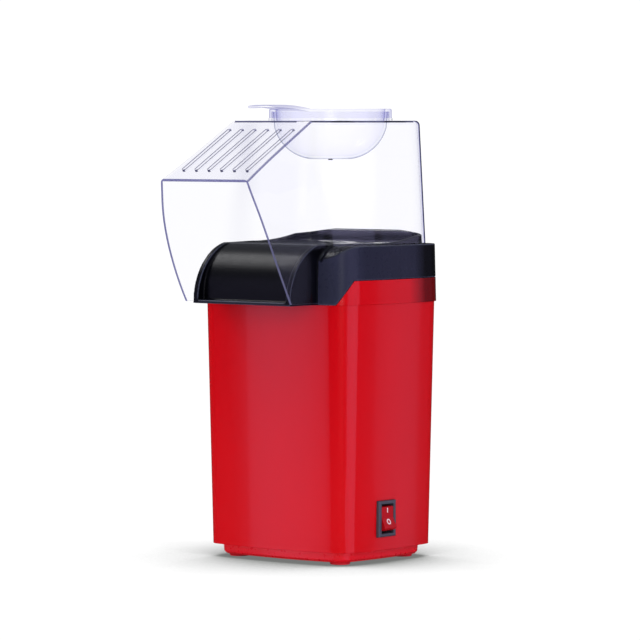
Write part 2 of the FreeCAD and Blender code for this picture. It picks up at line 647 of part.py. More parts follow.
def rocker_local(u, v):
    return Vector(ROCKER_PIVOT_X + u, 0, SWITCH_Z + v)


def rocker_button():
    """Rocker cap with two facets that meet in a shallow valley; it rests with its top pressed in."""
    tilt = math.tan(math.radians(ROCKER_THROW / 2))
    facets = polygon([rocker_local(2.4, 0), rocker_local(2.4 + 9 * tilt, 9), rocker_local(-4, 9),
                      rocker_local(-4, -9), rocker_local(2.4 + 9 * tilt, -9)])
    facets.translate(Vector(0, SWITCH_Y - 5.3, 0))
    cap = extruded(facets, Vector(0, 10.6, 0))
    drum = Part.makeCylinder(ROCKER_RADIUS, 10.6, Vector(ROCKER_PIVOT_X, SWITCH_Y - 5.3, SWITCH_Z), Y_AXIS)
    cap = cap.common(drum)
    pin = Part.makeCylinder(1.2, 12.0, Vector(ROCKER_PIVOT_X, SWITCH_Y - 6.0, SWITCH_Z), Y_AXIS)
    cap = cap.fuse(pin).cut(marks_local(0.3))
    cap.rotate(Vector(ROCKER_PIVOT_X, SWITCH_Y, SWITCH_Z), Y_AXIS, -ROCKER_THROW / 2)
    return cap.removeSplitter()


def facet_stamp(shape, upper):
    """Turn a stamp made flat at the pivot's height onto the upper or lower facet."""
    angle = ROCKER_THROW / 2 if upper else -ROCKER_THROW / 2
    turned = shape.copy()
    turned.rotate(Vector(2.4, 0, 0), Y_AXIS, angle)
    turned.translate(Vector(ROCKER_PIVOT_X, SWITCH_Y, SWITCH_Z))
    return turned


def marks_local(depth):
    """The bar and ring inlays, standing in the facets by their depth."""
    ring_z = -2.4
    bar = box(2.4 - depth, 2.45, -0.35, 0.35, 3.0, 5.8)
    ring = Part.makeCylinder(1.7, depth + 0.05, Vector(2.4 - depth, 0, ring_z), X_AXIS)
    ring = ring.cut(Part.makeCylinder(1.05, depth + 2, Vector(2.4 - depth - 1, 0, ring_z), X_AXIS))
    return group([facet_stamp(bar, True), facet_stamp(ring, False)])


def rocker_marks():
    marks = marks_local(0.3)
    marks.rotate(Vector(ROCKER_PIVOT_X, SWITCH_Y, SWITCH_Z), Y_AXIS, -ROCKER_THROW / 2)
    return marks


def switch_terminals():
    tabs = []
    for z in (SWITCH_Z - 5, SWITCH_Z + 5):
        tabs.append(box(31.0, 43.8, SWITCH_Y - 2.4, SWITCH_Y + 2.4, z - 0.4, z + 0.4))
    return group(tabs)


# ---------------------------------------------------------------- fan, motor and heater
def fan_tray():
    top = TRAY_Z + 2.5
    plate = cylinder(40.5, TRAY_Z, top)
    for x, y in corners(SCREW_X, SCREW_Y):
        arm = box(20, math.hypot(SCREW_X, SCREW_Y), -5, 5, TRAY_Z, top)
        arm.rotate(Vector(0, 0, 0), Z_AXIS, math.degrees(math.atan2(y, x)))
        plate = plate.fuse(arm).fuse(cylinder(5, TRAY_Z, top, x, y))
    plate = plate.fuse(cylinder(40.0, TRAY_Z, SLEEVE_BOTTOM + 3))
    plate = plate.cut(cylinder(35.4, top, SLEEVE_BOTTOM + 5))
    plate = plate.cut(cylinder(SLEEVE_RADIUS + 0.15, SLEEVE_BOTTOM, SLEEVE_BOTTOM + 5))
    plate = plate.cut(cylinder(25, TRAY_Z - 1, top + 1))
    hub = tube(18.5, 4.4, MOTOR_TOP, MOTOR_TOP + 2.5)
    plate = plate.fuse(hub)
    for k in range(3):
        spoke = box(10, 27, -3, 3, MOTOR_TOP, MOTOR_TOP + 2.5)
        post = box(24.5, 29, -3, 3, MOTOR_TOP, TRAY_Z + 1)
        spoke = spoke.fuse(post)
        spoke.rotate(Vector(0, 0, 0), Z_AXIS, 90 + 120 * k)
        plate = plate.fuse(spoke)
    plate = plate.cut(cylinder(4.4, MOTOR_TOP - 1, top + 1))
    for x in (-10.0, 10.0):
        plate = plate.cut(cylinder(1.7, MOTOR_TOP - 1, MOTOR_TOP + 4, x, 0))
    for x, y in corners(SCREW_X, SCREW_Y):
        plate = plate.cut(cylinder(1.7, TRAY_Z - 1, top + 1, x, y))
    return plate.removeSplitter()


def fan_tray_screws():
    top = TRAY_Z + 2.5
    places = corners(SCREW_X, SCREW_Y)
    return group([screw(x, y, top + 2.1, 2.7, 2.0, 1.35, 12, way=-1) for x, y in places])


def fan_impeller():
    bottom = 62.5
    disc = cylinder(FAN_RADIUS, bottom, bottom + 1.4).fuse(cylinder(6.0, bottom, bottom + 12))
    blade_count = 9
    for k in range(blade_count):
        inner = Vector(7.5, 0, bottom)
        middle = Vector(20.0, 5.5, bottom)
        outer = Vector(FAN_RADIUS - 0.6, 4.0, bottom)
        shift = Vector(0, 1.2, 0)
        wire = Part.Wire([arc(inner, middle, outer), line(outer, outer + shift),
                          arc(outer + shift, middle + shift, inner + shift), line(inner + shift, inner)])
        blade = extruded(wire, Vector(0, 0, 13.5))
        blade.rotate(Vector(0, 0, 0), Z_AXIS, 360 * k / blade_count)
        disc = disc.fuse(blade)
    return disc.cut(cylinder(SHAFT_RADIUS + RUNNING_GAP, bottom - 1, bottom + 20)).removeSplitter()


def motor_shaft():
    return cylinder(SHAFT_RADIUS, MOTOR_BOTTOM - 1.5, 77.0)


def shaft_clip():
    return tube(3.2, SHAFT_RADIUS + RUNNING_GAP, 74.6, 75.8)


def motor_can():
    can = cylinder(MOTOR_RADIUS, MOTOR_BOTTOM + 3, MOTOR_TOP)
    can = can.cut(cylinder(MOTOR_RADIUS - 1, 0, MOTOR_TOP - 1))
    can = can.cut(cylinder(3.6, 0, MOTOR_TOP + 1))
    for x in (-10.0, 10.0):
        can = can.cut(cylinder(1.3, MOTOR_TOP - 3, MOTOR_TOP + 1, x, 0))
    for k in range(4):
        vent = box(6.5, 10.5, -1.5, 1.5, MOTOR_TOP - 3, MOTOR_TOP + 1)
        vent.rotate(Vector(0, 0, 0), Z_AXIS, 45 + 90 * k)
        can = can.cut(vent)
    return can


def motor_end_cap():
    cap = cylinder(MOTOR_RADIUS, MOTOR_BOTTOM, MOTOR_BOTTOM + 3).fuse(
        cylinder(MOTOR_RADIUS - 1.15, MOTOR_BOTTOM, MOTOR_BOTTOM + 5))
    return cap.cut(cylinder(3.6, 0, 60))


def motor_bearings():
    return group([tube(3.5, SHAFT_RADIUS + RUNNING_GAP, MOTOR_BOTTOM, MOTOR_BOTTOM + 4),
                  tube(3.5, SHAFT_RADIUS + RUNNING_GAP, MOTOR_TOP - 3, MOTOR_TOP + 2)])


def motor_magnets():
    ring = tube(MOTOR_RADIUS - 1.15, 11.6, 29, 49)
    gap = box(-3, 3, -20, 20, 28, 50)
    return group(ring.cut(gap).Solids)


def motor_armature():
    core = cylinder(10.8, 31, 47)
    for k in range(3):
        slot = box(4.5, 12, -1.1, 1.1, 30, 48)
        pocket = box(4.5, 8.6, -3.6, 3.6, 30, 48)
        slot = slot.fuse(pocket)
        slot.rotate(Vector(0, 0, 0), Z_AXIS, 60 + 120 * k)
        core = core.cut(slot)
    return core.cut(cylinder(SHAFT_RADIUS + RUNNING_GAP, 30, 48)).removeSplitter()


def motor_commutator():
    barrel = tube(3.0, SHAFT_RADIUS + RUNNING_GAP, 25.2, 30.4)
    for k in range(3):
        slit = box(1.8, 4, -0.25, 0.25, 25, 30)
        slit.rotate(Vector(0, 0, 0), Z_AXIS, 120 * k)
        barrel = barrel.cut(slit)
    return barrel


def motor_brushes():
    brushes = []
    for side in (-1, 1):
        low, high = sorted((side * 3.3, side * 12.0))
        brushes.append(box(-1.2, 1.2, low, high, 26.0, 28.4))
    return group(brushes)


def motor_screws():
    top = MOTOR_TOP + 2.5
    return group([screw(x, 0, top + 1.6, 2.3, 1.5, 1.2, 4.2, way=-1) for x in (-10.0, 10.0)])


def duct_sleeve():
    sleeve = tube(SLEEVE_RADIUS, SLEEVE_RADIUS - 0.6, SLEEVE_BOTTOM, SLEEVE_TOP)
    for y in (-8.0, 8.0):
        sleeve = sleeve.cut(Part.makeCylinder(1.6, 20, Vector(30, y, 86), X_AXIS))
    return sleeve


def popping_chamber():
    radius = CHAMBER_INNER_RADIUS
    outer_radius = radius + CHAMBER_WALL
    cup = cylinder(outer_radius, CHAMBER_BOTTOM, SLEEVE_TOP + 1.2)
    cup = cup.fuse(cylinder(39.2, SLEEVE_TOP, SLEEVE_TOP + 1.2))
    cup = cup.cut(cylinder(radius, CHAMBER_BOTTOM + CHAMBER_WALL, SLEEVE_TOP + 5))
    dome = Part.makeCone(17, 7, 6, Vector(0, 0, CHAMBER_BOTTOM + CHAMBER_WALL))
    under_dome = Part.makeCone(17, 7, 6, Vector(0, 0, CHAMBER_BOTTOM))
    cup = cup.fuse(dome).cut(under_dome.cut(cylinder(30, CHAMBER_BOTTOM + 6, 130)))
    louvre_count = 20
    for k in range(louvre_count):
        slot = box(radius - 4, radius + 4, -1.0, 1.0, -5.5, 5.5)
        slot.rotate(Vector(radius, 0, 0), X_AXIS, 32)
        slot.translate(Vector(0, 0, CHAMBER_BOTTOM + 9))
        slot.rotate(Vector(0, 0, 0), Z_AXIS, 360 * k / louvre_count)
        cup = cup.cut(slot)
    return cup.removeSplitter()


def chamber_gasket():
    return tube(39.0, THROAT_RADIUS + 0.3, SLEEVE_TOP + 1.2, FUNNEL_BOTTOM)


def heater_rings():
    return [(13.0, 1.5), (20.5, 1.5), (28.0, 1.5)]


def heater_coil():
    turns = [Part.makeTorus(ring, minor, Vector(0, 0, HEATER_Z)) for ring, minor in heater_rings()]
    links = [Part.makeCylinder(0.8, 7.5, Vector(13.0, 0, HEATER_Z), X_AXIS),
             Part.makeCylinder(0.8, 7.5, Vector(20.5, 0, HEATER_Z), X_AXIS)]
    for link, angle in zip(links, (20, 65)):
        link.rotate(Vector(0, 0, 0), Z_AXIS, angle)
    return fuse_all(turns + links)


def heater_frame():
    low = HEATER_Z - 7
    high = HEATER_Z + 7
    frame = box(-36.4, 36.4, -0.5, 0.5, low, high).fuse(box(-0.5, 0.5, -36.4, 36.4, low, high))
    for ring, minor in heater_rings():
        frame = frame.cut(Part.makeTorus(ring, minor + 0.3, Vector(0, 0, HEATER_Z)))
        notch = tube(ring + minor + 0.3, ring - minor - 0.3, HEATER_Z, high + 1)
        frame = frame.cut(notch)
    solids = sorted(frame.Solids, key=lambda solid: solid.Volume)
    return solids[-1]


def mica_liner():
    liner = tube(SLEEVE_RADIUS - 0.75, SLEEVE_RADIUS - 1.15, SLEEVE_BOTTOM + 1, HEATER_Z + 8)
    for y in (-8.0, 8.0):
        liner = liner.cut(Part.makeCylinder(1.6, 20, Vector(30, y, 86), X_AXIS))
    return liner


def heater_terminals():
    posts = []
    for y in (-8.0, 8.0):
        posts.append(Part.makeCylinder(1.3, 11.0, Vector(33.2, y, 86), X_AXIS))
    return group(posts)


def thermostat_bracket():
    plate = box(-39.0, -38.1, -9, 9, 112, 132)
    shelf = box(-41.5, -38.1, -9, 9, 111.1, 112)
    return plate.fuse(shelf).removeSplitter()


def thermostat():
    disc = Part.makeCylinder(7.5, 5, Vector(-39.1, 0, 122), Vector(-1, 0, 0))
    cap = Part.makeCylinder(5.5, 3, Vector(-44.1, 0, 122), Vector(-1, 0, 0))
    body = disc.fuse(cap)
    for y in (-3.5, 3.5):
        body = body.fuse(box(-49.5, -46, y - 1.5, y + 1.5, 121.6, 122.4))
    return body.removeSplitter()


def thermal_fuse():
    return Part.makeCylinder(1.9, 11, Vector(-36.5, 20.5, 100)).fuse(
        Part.makeCylinder(0.6, 26, Vector(-36.5, 20.5, 92.5)))


def rectifier_board():
    board = box(-16.8, 16.8, 30.8, 32.4, 5.2, 34)
    for x in (-13.0, 13.0):
        board = board.cut(Part.makeCylinder(1.5, 6, Vector(x, 29, 30), Y_AXIS))
    return board


def rectifier_diodes():
    diodes = []
    for k in range(4):
        x = -9.0 + 6.0 * k
        diodes.append(Part.makeCylinder(1.3, 5.2, Vector(x, 29.4, 12)))
    return group(diodes)


def board_capacitor():
    return Part.makeCylinder(3.2, 9, Vector(0, 30.7, 25), Vector(0, -1, 0))


def cord_gland():
    """Moulded bush in the back wall that the mains cord would leave through."""
    wall_y = 43.9

    def bar(radius, start, length):
        return Part.makeCylinder(radius, length, Vector(0, start, 18), Y_AXIS)

    bush = fuse_all([bar(8.0, wall_y + 3.0, 1.8), bar(5.8, wall_y - 5.0, 8.2), bar(7.2, wall_y - 5.0, 2.4)])
    return bush.cut(bar(3.4, 30, 30))


def internal_leads():
    """Insulated wires inside the housing, each along its own route."""
    x_tab = 31.0
    low = SWITCH_Z - 5
    high = SWITCH_Z + 5
    return {
        "lead_supply_to_switch": lead([
            Vector(x_tab - 0.1, SWITCH_Y, low), Vector(26.0, SWITCH_Y, low), Vector(24.0, 4.0, low - 2),
            Vector(22.0, 22.0, low - 2), Vector(21.0, 36.0, low - 1), Vector(9.5, 37.0, 19.0),
            Vector(1.2, 37.0, 18.5), Vector(1.2, 42.5, 18.0)]),
        "lead_switch_to_heater": lead([
            Vector(x_tab - 0.1, SWITCH_Y, high), Vector(24.5, SWITCH_Y, high), Vector(25.0, -16.0, 34.0),
            Vector(34.0, -24.0, 40.0), Vector(45.5, -18.0, 50.0), Vector(47.0, -13.0, 64.0),
            Vector(48.0, -8.0, 76.0), Vector(48.0, -8.0, 86.0), Vector(44.3, -8.0, 86.0)]),
    }


# ---------------------------------------------------------------- all parts
BUILDERS = [
    outer_housing, base_plate, base_feet, base_screws, top_collar, collar_trim_band, collar_screws,
    clear_hood, measuring_cup, switch_body, rocker_button, rocker_marks, switch_terminals,
    fan_tray, fan_tray_screws, fan_impeller, motor_shaft, shaft_clip, motor_can, motor_end_cap,
    motor_bearings, motor_magnets, motor_armature, motor_commutator, motor_brushes, motor_screws,
    duct_sleeve, popping_chamber, chamber_gasket, heater_coil, heater_frame, mica_liner,
    heater_terminals, thermostat_bracket, thermostat, thermal_fuse, rectifier_board,
    rectifier_diodes, board_capacitor, cord_gland]


def main():
    for builder in BUILDERS:
        parts[builder.__name__] = builder()
    parts.update(internal_leads())
    os.makedirs("parts", exist_ok=True)
    for name, shape in parts.items():
        solids = shape.Solids
        print(f"{name:24s} solids {len(solids)} valid {shape.isValid()} volume {shape.Volume:9.1f}")
        shape.exportStep(f"parts/{name}.step")


main()
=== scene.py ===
"""Looks of the popcorn maker: glossy red body, black collar, clear hood and cup, and everything inside."""

import math

import bpy
from mathutils import Matrix, Vector


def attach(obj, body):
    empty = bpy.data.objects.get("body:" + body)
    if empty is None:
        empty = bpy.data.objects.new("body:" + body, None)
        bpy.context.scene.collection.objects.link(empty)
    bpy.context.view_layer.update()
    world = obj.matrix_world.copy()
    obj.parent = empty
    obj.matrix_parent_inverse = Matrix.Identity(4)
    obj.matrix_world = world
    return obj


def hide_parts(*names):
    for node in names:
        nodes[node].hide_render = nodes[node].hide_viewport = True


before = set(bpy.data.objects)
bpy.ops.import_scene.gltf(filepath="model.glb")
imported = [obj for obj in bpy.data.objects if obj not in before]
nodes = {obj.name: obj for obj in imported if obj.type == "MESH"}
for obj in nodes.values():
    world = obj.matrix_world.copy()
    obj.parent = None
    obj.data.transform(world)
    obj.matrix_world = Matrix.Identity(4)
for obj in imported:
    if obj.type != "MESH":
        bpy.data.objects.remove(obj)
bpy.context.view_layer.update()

MM = 0.001

# ---------------------------------------------------------------- camera and stage
VIEW_AZIMUTH = 39.186       # degrees round from the front towards +X, and degrees above level
VIEW_HEIGHT = 2.794
VIEW_DISTANCE = 2.382
VIEW_TARGET_ALONG = -0.000444       # sideways shift of the point the camera aims at
VIEW_TARGET_Z = 0.13887
LENS = 228.0


def make_camera():
    """Long-lens camera that looks from the right front, slightly down."""
    a = math.radians(VIEW_AZIMUTH)
    p = math.radians(VIEW_HEIGHT)
    forward = Vector((-math.sin(a) * math.cos(p), math.cos(a) * math.cos(p), -math.sin(p)))
    right = Vector((math.cos(a), math.sin(a), 0))
    up = right.cross(forward)
    target = right * VIEW_TARGET_ALONG + Vector((0, 0, VIEW_TARGET_Z))
    data = bpy.data.cameras.new("camera")
    data.lens = LENS
    data.sensor_width = 36
    data.clip_start = 0.05
    data.clip_end = 40
    camera = bpy.data.objects.new("camera", data)
    bpy.context.scene.collection.objects.link(camera)
    turn = Matrix((right, up, -forward)).transposed()
    camera.matrix_world = Matrix.Translation(target - forward * VIEW_DISTANCE) @ turn.to_4x4()
    bpy.context.scene.camera = camera


LIGHT_AIM = Vector((0, 0, 0.12))


def softbox(name, azimuth, height, distance, width, tall, watts, colour=(1, 1, 1)):
    """Rectangular area light; azimuth 0 stands in front (-Y), 90 stands at +X."""
    a = math.radians(azimuth)
    e = math.radians(height)
    away = Vector((math.sin(a) * math.cos(e), -math.cos(a) * math.cos(e), math.sin(e)))
    data = bpy.data.lights.new(name, "AREA")
    data.shape = "RECTANGLE"
    data.size = width
    data.size_y = tall
    data.energy = watts
    data.color = colour
    lamp = bpy.data.objects.new(name, data)
    bpy.context.scene.collection.objects.link(lamp)
    lamp.location = LIGHT_AIM + away * distance
    lamp.rotation_mode = "QUATERNION"
    lamp.rotation_quaternion = away.to_track_quat("Z", "Y")
    lamp.visible_camera = False


BACKDROP = 1.05             # brightness of the backdrop and the floor as the camera sees them


def make_world():
    """White backdrop for the camera; everything else sees a room that brightens overhead."""
    world = bpy.data.worlds.new("studio")
    bpy.context.scene.world = world
    world.use_nodes = True
    tree = world.node_tree
    tree.nodes.clear()
    out = tree.nodes.new("ShaderNodeOutputWorld")
    seen = tree.nodes.new("ShaderNodeBackground")
    seen.inputs["Color"].default_value = (1, 1, 1, 1)
    seen.inputs["Strength"].default_value = BACKDROP
    room = tree.nodes.new("ShaderNodeBackground")
    room.inputs["Strength"].default_value = 1.0
    place = tree.nodes.new("ShaderNodeTexCoord")
    split = tree.nodes.new("ShaderNodeSeparateXYZ")
    ramp = tree.nodes.new("ShaderNodeValToRGB")
    ramp.color_ramp.elements[0].position = 0.5
    ramp.color_ramp.elements[0].color = (0.05, 0.05, 0.055, 1)
    ramp.color_ramp.elements[1].position = 1.0
    ramp.color_ramp.elements[1].color = (0.60, 0.62, 0.68, 1)
    half = tree.nodes.new("ShaderNodeMapRange")
    half.inputs["From Min"].default_value = -1
    half.inputs["From Max"].default_value = 1
    path = tree.nodes.new("ShaderNodeLightPath")
    mix = tree.nodes.new("ShaderNodeMixShader")
    tree.links.new(place.outputs["Generated"], split.inputs["Vector"])
    tree.links.new(split.outputs["Z"], half.inputs["Value"])
    tree.links.new(half.outputs["Result"], ramp.inputs["Fac"])
    tree.links.new(ramp.outputs["Color"], room.inputs["Color"])
    tree.links.new(path.outputs["Is Camera Ray"], mix.inputs["Fac"])
    tree.links.new(room.outputs["Background"], mix.inputs[1])
    tree.links.new(seen.outputs["Background"], mix.inputs[2])
    tree.links.new(mix.outputs["Shader"], out.inputs["Surface"])


# ---------------------------------------------------------------- material building blocks
class Maker:
    """A node material with a Principled shader and small helpers for its procedural detail."""

    def __init__(self, name):
        self.material = bpy.data.materials.new(name)
        self.material.use_nodes = True
        self.tree = self.material.node_tree
        self.bsdf = self.tree.nodes["Principled BSDF"]
        self.out = self.tree.nodes["Material Output"]
        self.place = self.add("ShaderNodeTexCoord")

    def add(self, kind, **values):
        node = self.tree.nodes.new(kind)
        for key, value in values.items():
            setattr(node, key, value)
        return node

    def link(self, source, target):
        self.tree.links.new(source, target)

    def stretch(self, scale):
        mapping = self.add("ShaderNodeMapping")
        mapping.inputs["Scale"].default_value = scale
        self.link(self.place.outputs["Object"], mapping.inputs["Vector"])
        return mapping.outputs["Vector"]

    def noise(self, scale, detail=3.0, stretch=(1, 1, 1), roughness=0.5):
        noise = self.add("ShaderNodeTexNoise")
        noise.inputs["Scale"].default_value = scale
        noise.inputs["Detail"].default_value = detail
        noise.inputs["Roughness"].default_value = roughness
        self.link(self.stretch(stretch), noise.inputs["Vector"])
        return noise.outputs["Fac"]

    def cells(self, scale):
        cells = self.add("ShaderNodeTexVoronoi")
        cells.inputs["Scale"].default_value = scale
        self.link(self.place.outputs["Object"], cells.inputs["Vector"])
        return cells.outputs["Distance"]

    def ramp(self, value, stops):
        """Colours along a value from 0 to 1, from (position, colour) stops."""
        ramp = self.add("ShaderNodeValToRGB")
        elements = ramp.color_ramp.elements
        while len(elements) < len(stops):
            elements.new(0.5)
        for element, (position, colour) in zip(elements, stops):
            element.position = position
            element.color = (*colour, 1)
        self.link(value, ramp.inputs["Fac"])
        return ramp.outputs["Color"]

    def span(self, value, low, high, start=0.0, end=1.0):
        """The value's stretch from start to end, mapped to low..high and held there beyond it."""
        span = self.add("ShaderNodeMapRange")
        span.inputs["From Min"].default_value = start
        span.inputs["From Max"].default_value = end
        span.inputs["To Min"].default_value = low
        span.inputs["To Max"].default_value = high
        self.link(value, span.inputs["Value"])
        return span.outputs["Result"]

    def blend(self, factor, first, second, kind="MIX"):
        """Two colours blended by a factor; second is a socket or a plain colour."""
        blend = self.add("ShaderNodeMix", data_type="RGBA", blend_type=kind)
        factor_in, first_in, second_in = blend.inputs["Factor"], blend.inputs[6], blend.inputs[7]
        if isinstance(factor, float):
            factor_in.default_value = factor
        else:
            self.link(factor, factor_in)
        self.link(first, first_in)
        if isinstance(second, tuple):
            second_in.default_value = (*second, 1)
        else:
            self.link(second, second_in)
        return blend.outputs[2]

    def part_of(self, vector, axis):
        """One coordinate, X, Y or Z, of a vector."""
        split = self.add("ShaderNodeSeparateXYZ")
        self.link(vector, split.inputs["Vector"])
        return split.outputs[axis]

    def show(self, shader):
        """Puts a shader of its own on the surface in place of the Principled one."""
        self.link(shader, self.out.inputs["Surface"])
        self.tree.nodes.remove(self.bsdf)
        return self.material

    def bump(self, heights, edge=0.0):
        """heights: (socket, depth in metres); edge rounds hard edges by that radius."""
        normal = None
        if edge:
            rounded = self.add("ShaderNodeBevel", samples=6)
            rounded.inputs["Radius"].default_value = edge
            normal = rounded.outputs["Normal"]
        for height, depth in heights:
            bump = self.add("ShaderNodeBump")
            bump.inputs["Strength"].default_value = 1.0
            bump.inputs["Distance"].default_value = depth
            self.link(height, bump.inputs["Height"])
            if normal is not None:
                self.link(normal, bump.inputs["Normal"])
            normal = bump.outputs["Normal"]
        self.link(normal, self.bsdf.inputs["Normal"])


EDGE_HIGHLIGHT_FROM = 0.512           # pointiness at which the painted highlight along an outward edge starts
EDGE_HIGHLIGHT_TO = 0.545
LOOKS_UP_FROM = 0.12        # part of the normal pointing up at which a face starts to take the painted shade of faces that look up
LOOKS_UP_TO = 0.35


def tints(colour, spread):
    """The colour a little darker and a little lighter."""
    low = tuple(c * (1 - spread) for c in colour)
    high = tuple(min(1.0, c * (1 + spread)) for c in colour)
    return low, high


def plastic(name, colour, rough=0.2, coat=0.0, spread=0.06, grain=0.0, specular=0.5, peel=0.00002,
            edge=0.0004, flow=24.0, edge_highlight=None, upward_shade=None, painted_shade_along_y=None):
    """Moulded plastic: faint flow marks, fine wear in the gloss and either an even skin or a texture.

    Three options paint light into the colour: a highlight colour painted along outward edges, a colour of
    painted shade on faces that look up, and (y in metres, shade) stops of painted shade that darken or
    lighten the piece from front to back.
    """
    m = Maker(name)
    low, high = tints(colour, spread)
    tint = m.ramp(m.noise(flow, 4, (1, 1, 0.45)), [(0.3, low), (0.7, high)])
    shape = m.add("ShaderNodeNewGeometry")
    # painted shade: the colour darkens or lightens from front to back by the given stops
    if painted_shade_along_y:
        front = painted_shade_along_y[0][0]
        back = painted_shade_along_y[-1][0]
        along = m.span(m.part_of(m.place.outputs["Object"], "Y"), 0.0, 1.0, front, back)
        stops = [((y - front) / (back - front), (shade, shade, shade)) for y, shade in painted_shade_along_y]
        tint = m.blend(1.0, tint, m.ramp(along, stops), "MULTIPLY")
    # painted shade: faces that look up take the given colour
    if upward_shade:
        facing_up = m.span(m.part_of(shape.outputs["Normal"], "Z"), 0.0, 1.0, LOOKS_UP_FROM, LOOKS_UP_TO)
        tint = m.blend(facing_up, tint, upward_shade)
    # painted highlight: outward edges take the given edge colour
    if edge_highlight:
        outward_edge = m.span(shape.outputs["Pointiness"], 0.0, 1.0, EDGE_HIGHLIGHT_FROM, EDGE_HIGHLIGHT_TO)
        tint = m.blend(outward_edge, tint, edge_highlight)
    m.link(tint, m.bsdf.inputs["Base Color"])
    m.link(m.span(m.noise(420, 5), rough * 0.8, rough * 1.25), m.bsdf.inputs["Roughness"])
    m.bsdf.inputs["Coat Weight"].default_value = coat
    m.bsdf.inputs["Coat Roughness"].default_value = 0.05
    m.bsdf.inputs["Specular IOR Level"].default_value = specular
    heights = [(m.noise(130, 2), peel)]
    if grain:
        heights.append((m.noise(2600, 2), grain))
    m.bump(heights, edge)
    return m.material


def metal(name, colour, rough=0.3, along=(1, 1, 30), scale=90, depth=0.000012, edge=0.0003):
    """Metal with fine working marks drawn out at right angles to the stretched axis."""
    m = Maker(name)
    low, high = tints(colour, 0.16)
    lines = m.noise(scale, 6, along, 0.65)
    m.link(m.ramp(lines, [(0.25, low), (0.75, high)]), m.bsdf.inputs["Base Color"])
    m.link(m.span(m.noise(scale * 1.7, 4, along), rough * 0.75, rough * 1.35), m.bsdf.inputs["Roughness"])
    m.bsdf.inputs["Metallic"].default_value = 1.0
    m.bump([(lines, depth)], edge)
    return m.material


def mineral(name, colour, rough=0.7, scale=300, depth=0.00005, spread=0.25, speck=None):
    """Rubber, mica, ferrite, carbon and board: matt, speckled and slightly uneven."""
    m = Maker(name)
    low, high = tints(colour, spread)
    m.link(m.ramp(m.noise(scale, 8, (1, 1, 1), 0.7), [(0.3, low), (0.7, speck or high)]),
           m.bsdf.inputs["Base Color"])
    m.link(m.span(m.noise(scale * 0.4, 3), rough * 0.85, min(1, rough * 1.15)), m.bsdf.inputs["Roughness"])
    m.bump([(m.cells(scale * 2), depth)], 0.0002)
    return m.material


RIPPLE_DEPTH = 0.00003      # flow ripple in the skin of the clear mouldings


def clear(name, stops, shine=0.3, rough=0.03, frost=0.0):
    """Clear moulded plastic: stops tint it from a wall seen square on (0) to one seen edge on (1).

    frost is the share of scattered light, for cut and moulded edges that also show against black.
    """
    m = Maker(name)
    weight = m.add("ShaderNodeLayerWeight")
    weight.inputs["Blend"].default_value = 0.5
    see = m.add("ShaderNodeBsdfTransparent")
    m.link(m.ramp(weight.outputs["Facing"], stops), see.inputs["Color"])
    body = see.outputs["BSDF"]
    if frost:
        scatter = m.add("ShaderNodeBsdfDiffuse")
        m.link(m.ramp(m.noise(90, 3), [(0.3, (0.46, 0.46, 0.78)), (0.7, (0.56, 0.56, 0.88))]),
               scatter.inputs["Color"])
        blend = m.add("ShaderNodeMixShader")
        blend.inputs["Fac"].default_value = frost
        m.link(body, blend.inputs[1])
        m.link(scatter.outputs["BSDF"], blend.inputs[2])
        body = blend.outputs["Shader"]
    gloss = m.add("ShaderNodeBsdfGlossy")
    gloss.inputs["Color"].default_value = (0.9, 0.92, 1.0, 1)
    m.link(m.span(m.noise(30, 3), rough * 0.6, rough * 1.6), gloss.inputs["Roughness"])
    ripple = m.add("ShaderNodeBump")
    ripple.inputs["Distance"].default_value = RIPPLE_DEPTH
    m.link(m.noise(60, 2), ripple.inputs["Height"])
    m.link(ripple.outputs["Normal"], gloss.inputs["Normal"])
    steep = m.add("ShaderNodeMath", operation="POWER")
    steep.inputs[1].default_value = 5.0
    m.link(weight.outputs["Facing"], steep.inputs[0])
    share = m.add("ShaderNodeMath", operation="MULTIPLY_ADD")
    share.inputs[1].default_value = 0.4 * shine
    share.inputs[2].default_value = 0.04 * shine
    m.link(steep.outputs["Value"], share.inputs[0])
    mix = m.add("ShaderNodeMixShader")
    m.link(share.outputs["Value"], mix.inputs["Fac"])
    m.link(body, mix.inputs[1])
    m.link(gloss.outputs["BSDF"], mix.inputs[2])
    return m.show(mix.outputs["Shader"])


PANEL_NORMAL = Vector((0.0, -0.488, 0.873))
PANEL_LEVEL = 0.2456        # distance of the sloped panel's outside from the origin, along its normal
SLOT_SHADE_DEPTH = 0.0015


def slot_wall(name):
    """Clear side of a vent slot with a dark line where it meets the panel's outside."""
    m = Maker(name)
    along = m.add("ShaderNodeVectorMath", operation="DOT_PRODUCT")
    along.inputs[1].default_value = PANEL_NORMAL
    m.link(m.place.outputs["Object"], along.inputs[0])
    depth = m.span(along.outputs["Value"], 0.0, 1.0, PANEL_LEVEL - SLOT_SHADE_DEPTH, PANEL_LEVEL)
    see = m.add("ShaderNodeBsdfTransparent")
    m.link(m.ramp(depth, [(0.0, (0.75, 0.75, 0.82)), (0.2, (0.93, 0.93, 0.97)), (0.70, (0.90, 0.90, 0.95)),
                          (0.80, (0.16, 0.16, 0.24))]), see.inputs["Color"])
    return m.show(see.outputs["BSDF"])


def fold_line(name, tint, across, stops=(0.42, 0.54, 0.74, 0.86)):
    """Rounded fold of the clear hood: a dark line where the round turns through part of its sweep."""
    m = Maker(name)
    shape = m.add("ShaderNodeNewGeometry")
    square = m.add("ShaderNodeVectorMath", operation="DOT_PRODUCT")
    square.inputs[1].default_value = across
    m.link(shape.outputs["Normal"], square.inputs[0])
    size = m.add("ShaderNodeMath", operation="ABSOLUTE")
    m.link(square.outputs["Value"], size.inputs[0])
    see = m.add("ShaderNodeBsdfTransparent")
    pale = (0.96, 0.96, 0.985)
    m.link(m.ramp(size.outputs["Value"], list(zip(stops, (pale, tint, tint, pale)))), see.inputs["Color"])
    return m.show(see.outputs["BSDF"])


